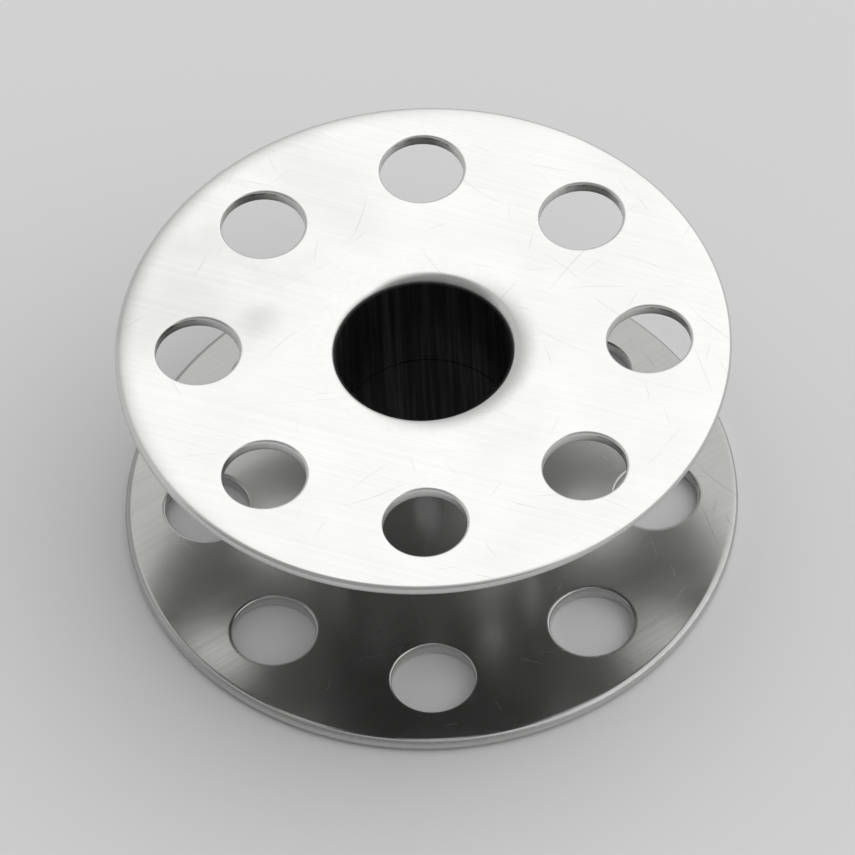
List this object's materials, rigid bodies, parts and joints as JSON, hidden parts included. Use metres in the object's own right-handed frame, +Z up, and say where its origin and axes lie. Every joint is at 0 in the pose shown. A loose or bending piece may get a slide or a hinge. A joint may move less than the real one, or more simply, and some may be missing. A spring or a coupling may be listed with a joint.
{
  "type": "sewing machine bobbin",
  "caption": "Round steel thread bobbin: two flat flanges with a ring of pierced holes, a plain hub tube between them and a smooth trumpet-mouthed bore for a spindle.",
  "frame": {"origin": "middle of the lower flange's outer face, on the bore axis", "axes": "+Z up along the bore axis, from the lower flange to the upper one; +X through the middle of one pierced hole"},
  "size_m": [0.0205, 0.0204, 0.0089],
  "materials": {
    "nickel_plated_steel": "bright nickel plate over pressed steel, tumbled smooth"
  },
  "bodies": {
    "root": {"lower_flange": "nickel_plated_steel", "upper_flange": "nickel_plated_steel", "hub_sleeve": "nickel_plated_steel"}
  },
  "joints": []
}
